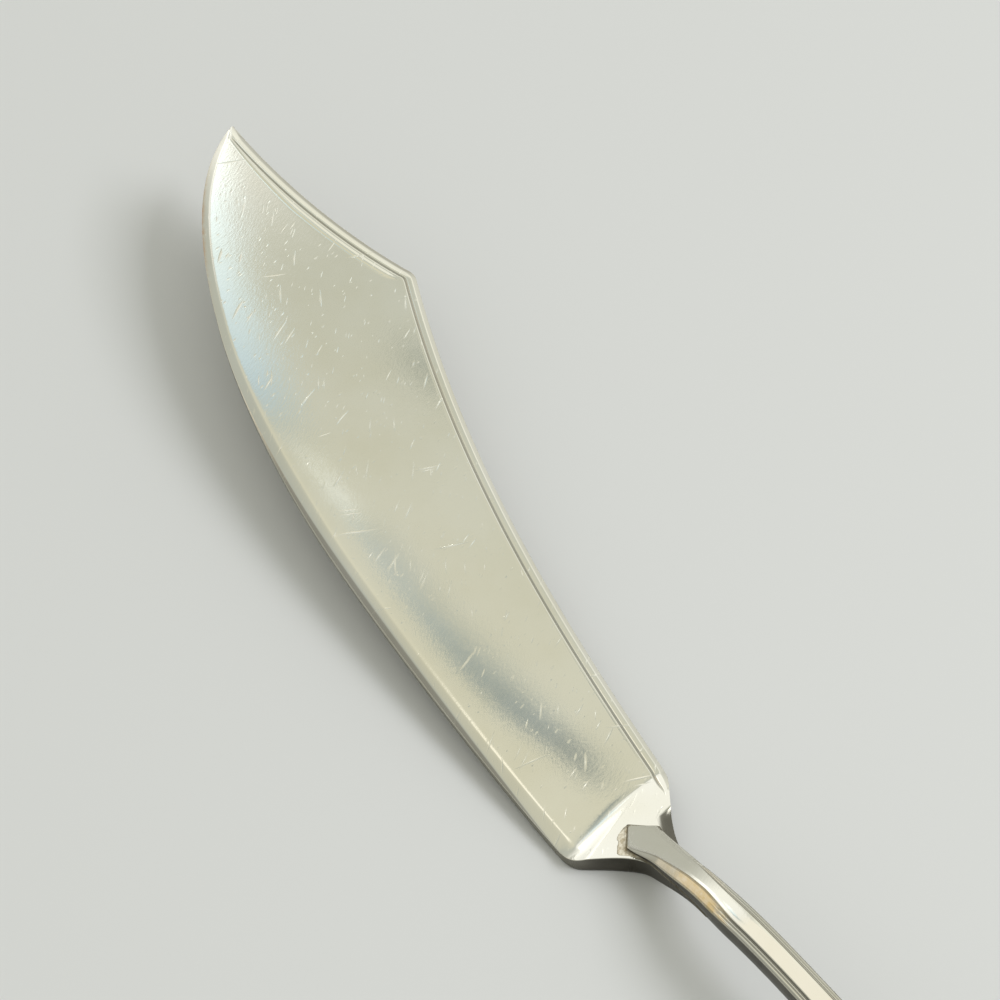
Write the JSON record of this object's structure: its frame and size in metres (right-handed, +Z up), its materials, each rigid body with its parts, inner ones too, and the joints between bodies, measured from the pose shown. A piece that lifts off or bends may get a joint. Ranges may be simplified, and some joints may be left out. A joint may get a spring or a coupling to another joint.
{
  "type": "master butter knife",
  "caption": "Master butter knife with a scimitar blade, a bevelled edge and an engraved line along the back, lap-soldered to an arched flat handle with threaded edges.",
  "frame": {"origin": "on the table, under the middle of the knife's box as it lies on its heel and its handle end", "axes": "+X along the handle towards the tip, +Y towards the cutting edge, +Z up from the table through the decorated face"},
  "size_m": [0.1882, 0.0288, 0.0113],
  "materials": {
    "blade_plate": "worn silver plate on nickel silver, hazy from fine scratches, with dark tarnish in the engraved line",
    "handle_plate": "worn silver plate on nickel silver, rubbed through to brassy metal beside the neck",
    "solder": "tarnished silver solder"
  },
  "bodies": {
    "root": {"blade": "blade_plate", "handle": "handle_plate", "solder_joint": "solder"}
  },
  "joints": []
}
